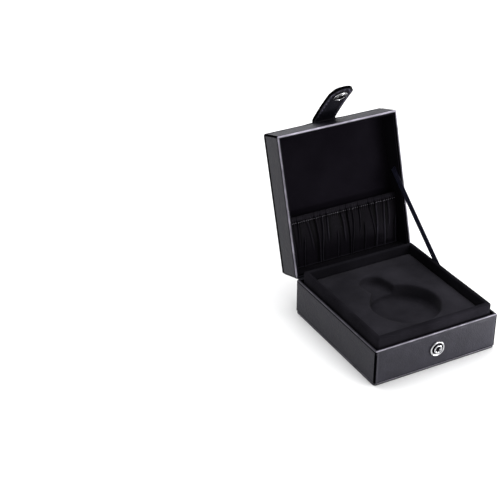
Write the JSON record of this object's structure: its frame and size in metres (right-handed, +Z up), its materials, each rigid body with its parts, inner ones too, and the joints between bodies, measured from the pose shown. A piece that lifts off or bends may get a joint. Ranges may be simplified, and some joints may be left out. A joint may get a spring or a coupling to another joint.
{
  "type": "pocket watch display box",
  "caption": "Square leatherette case with a padded hinged lid, snap strap, gathered cloth pocket in the lid and a velvet collar and pad with a well for one pocket watch.",
  "frame": {"origin": "centre of the base's underside, which the box stands on", "axes": "+X to the right, -Y to the front where the snap is, +Z up; the hinge line runs along X at the back top edge of the base"},
  "size_m": [0.1, 0.1604, 0.1593],
  "materials": {
    "leatherette": "black grained leatherette, satin, with lighter creased edges",
    "greyboard": "plain grey board, uncoated",
    "velvet": "black flocked velvet, matt, with a soft sheen at grazing angles",
    "foam": "dark grey soft foam",
    "nickel": "bright nickel-plated pressed metal",
    "ribbon": "dark navy satin ribbon with woven edges",
    "pocket_cloth": "black satin lining cloth, gathered on elastic",
    "elastic": "black woven elastic",
    "thread": "black waxed sewing thread",
    "edge_black": "black painted edge",
    "black_enamel": "glossy black enamelled cap"
  },
  "bodies": {
    "base": {"bottom_cover": "leatherette", "base_front_board": "greyboard", "base_back_board": "greyboard", "base_left_board": "greyboard", "base_right_board": "greyboard", "base_floor_board": "greyboard", "base_wrap": "leatherette", "collar_front": "velvet", "collar_back": "velvet", "collar_left": "velvet", "collar_right": "velvet", "pad_foam": "foam", "pad_velvet": "velvet", "snap_stud_ring": "nickel", "snap_stud_post": "nickel", "snap_stud_washer": "nickel", "stay_ribbon": "ribbon", "spine_lower": "leatherette"},
    "lid": {"spine_upper": "leatherette", "lid_front_board": "greyboard", "lid_back_board": "greyboard", "lid_left_board": "greyboard", "lid_right_board": "greyboard", "lid_top_board": "greyboard", "lid_wrap": "leatherette", "lining_front": "velvet", "lining_back": "velvet", "lining_left": "velvet", "lining_right": "velvet", "lining_panel": "velvet", "pocket_cloth": "pocket_cloth", "pocket_elastic": "elastic", "pocket_thread": "thread", "cushion_mount": "edge_black", "cushion_backing": "leatherette", "cushion_foam": "foam", "cushion_cover": "leatherette", "cushion_stitching": "thread", "strap_tongue": "leatherette"},
    "strap": {"strap_outer": "leatherette", "strap_lining": "leatherette", "strap_stitching": "thread", "snap_cap": "black_enamel", "snap_rivet": "nickel", "snap_socket": "nickel"}
  },
  "joints": [
    {"name": "lid_hinge", "type": "hinge", "parent": "base", "child": "lid", "pos_m": [0, 0.0525, 0.028], "axis": [1, 0, 0], "range_deg": [0, 107], "deforming": ["stay_ribbon"]},
    {"name": "strap_bend", "type": "hinge", "parent": "lid", "child": "strap", "pos_m": [0, 0.10356, 0.12386], "axis": [1, 0, 0], "range_deg": [-50, 32], "stiffness_Nm_per_rad": 0.03}
  ]
}
